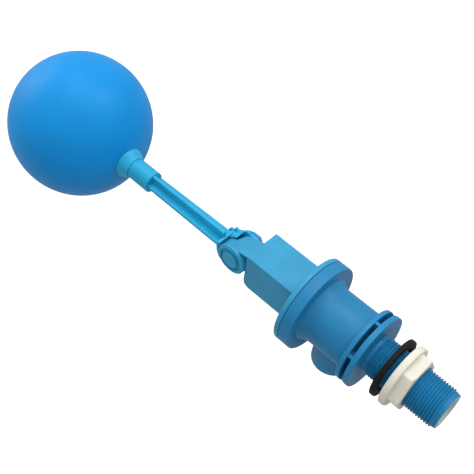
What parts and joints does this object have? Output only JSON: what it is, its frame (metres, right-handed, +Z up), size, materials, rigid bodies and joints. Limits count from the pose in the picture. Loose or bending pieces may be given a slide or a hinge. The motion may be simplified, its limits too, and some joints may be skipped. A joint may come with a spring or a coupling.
{
  "type": "float valve",
  "caption": "Side-entry float valve with a round flange, square pilot housing, threaded inlet stem with lock nut and washer, and a hollow ball on a pivoting arm.",
  "frame": {"origin": "on the valve's axis, in the plane of the mounting flange's sealing face, which bears on the tank wall", "axes": "+X out along the threaded inlet stem through the tank wall, +Z up, outlet spout pointing down along -Z, float arm and ball towards -X"},
  "size_m": [0.3563, 0.0986, 0.0985],
  "materials": {
    "valve_plastic": "satin moulded plastic",
    "bonnet_plastic": "satin moulded plastic",
    "arm_plastic": "satin moulded plastic",
    "shaft_plastic": "satin moulded plastic",
    "float_plastic": "smooth moulded plastic",
    "ivory_plastic": "satin moulded plastic",
    "white_plastic": "moulded plastic",
    "insert_plastic": "moulded acetal",
    "black_rubber": "matt rubber",
    "brass": "turned",
    "steel": "plain stainless steel"
  },
  "bodies": {
    "valve": {"valve_body": "valve_plastic", "main_seat": "insert_plastic", "inlet_strainer": "white_plastic", "bonnet_housing": "bonnet_plastic", "housing_cover": "bonnet_plastic", "pilot_nozzle": "brass", "nozzle_seal": "black_rubber", "bleed_pin": "steel", "main_diaphragm": "black_rubber"},
    "main_disc": {"diaphragm_plate": "insert_plastic", "seat_washer": "black_rubber", "washer_screw": "steel"},
    "plunger": {"pilot_plunger": "insert_plastic", "pilot_pad": "black_rubber"},
    "lever": {"pivot_shaft": "shaft_plastic", "cam_lever": "insert_plastic", "cam_grub_screw": "steel", "serrated_hub": "arm_plastic"},
    "arm": {"float_arm": "arm_plastic", "clamp_washer": "steel", "clamp_nut": "shaft_plastic", "arm_stud": "brass", "float_ball": "float_plastic", "ball_boss": "arm_plastic"},
    "washer": {"sealing_washer": "black_rubber"},
    "nut": {"lock_nut": "ivory_plastic"}
  },
  "joints": [
    {"name": "float_lever", "type": "hinge", "parent": "valve", "child": "lever", "pos_m": [-0.1035, 0, 0.00275], "axis": [0, 1, 0], "range_deg": [0, 25]},
    {"name": "arm_angle", "type": "hinge", "parent": "lever", "child": "arm", "pos_m": [-0.1035, 0, 0.00275], "axis": [0, 1, 0], "range_deg": [-60, 0]},
    {"name": "pilot_slide", "type": "slide", "parent": "valve", "child": "plunger", "axis": [1, 0, 0], "range_m": [0, 0.00217]},
    {"name": "main_disc_lift", "type": "slide", "parent": "valve", "child": "main_disc", "axis": [1, 0, 0], "range_m": [0, 0.002], "deforming": ["main_diaphragm"]},
    {"name": "washer_slide", "type": "slide", "parent": "valve", "child": "washer", "axis": [1, 0, 0], "range_m": [-0.01088, 0.01088]},
    {"name": "nut_turn", "type": "hinge", "parent": "washer", "child": "nut", "pos_m": [0.0239, 0, 0], "axis": [1, 0, 0], "range_deg": [-2158, 2158]}
  ],
  "couplings": [
    {"joint": "pilot_slide", "follows": "float_lever", "m_per_rad": 0.00496},
    {"joint": "main_disc_lift", "follows": "float_lever", "m_per_rad": 0.00458},
    {"joint": "washer_slide", "follows": "nut_turn", "m_per_rad": 0.00028871}
  ]
}
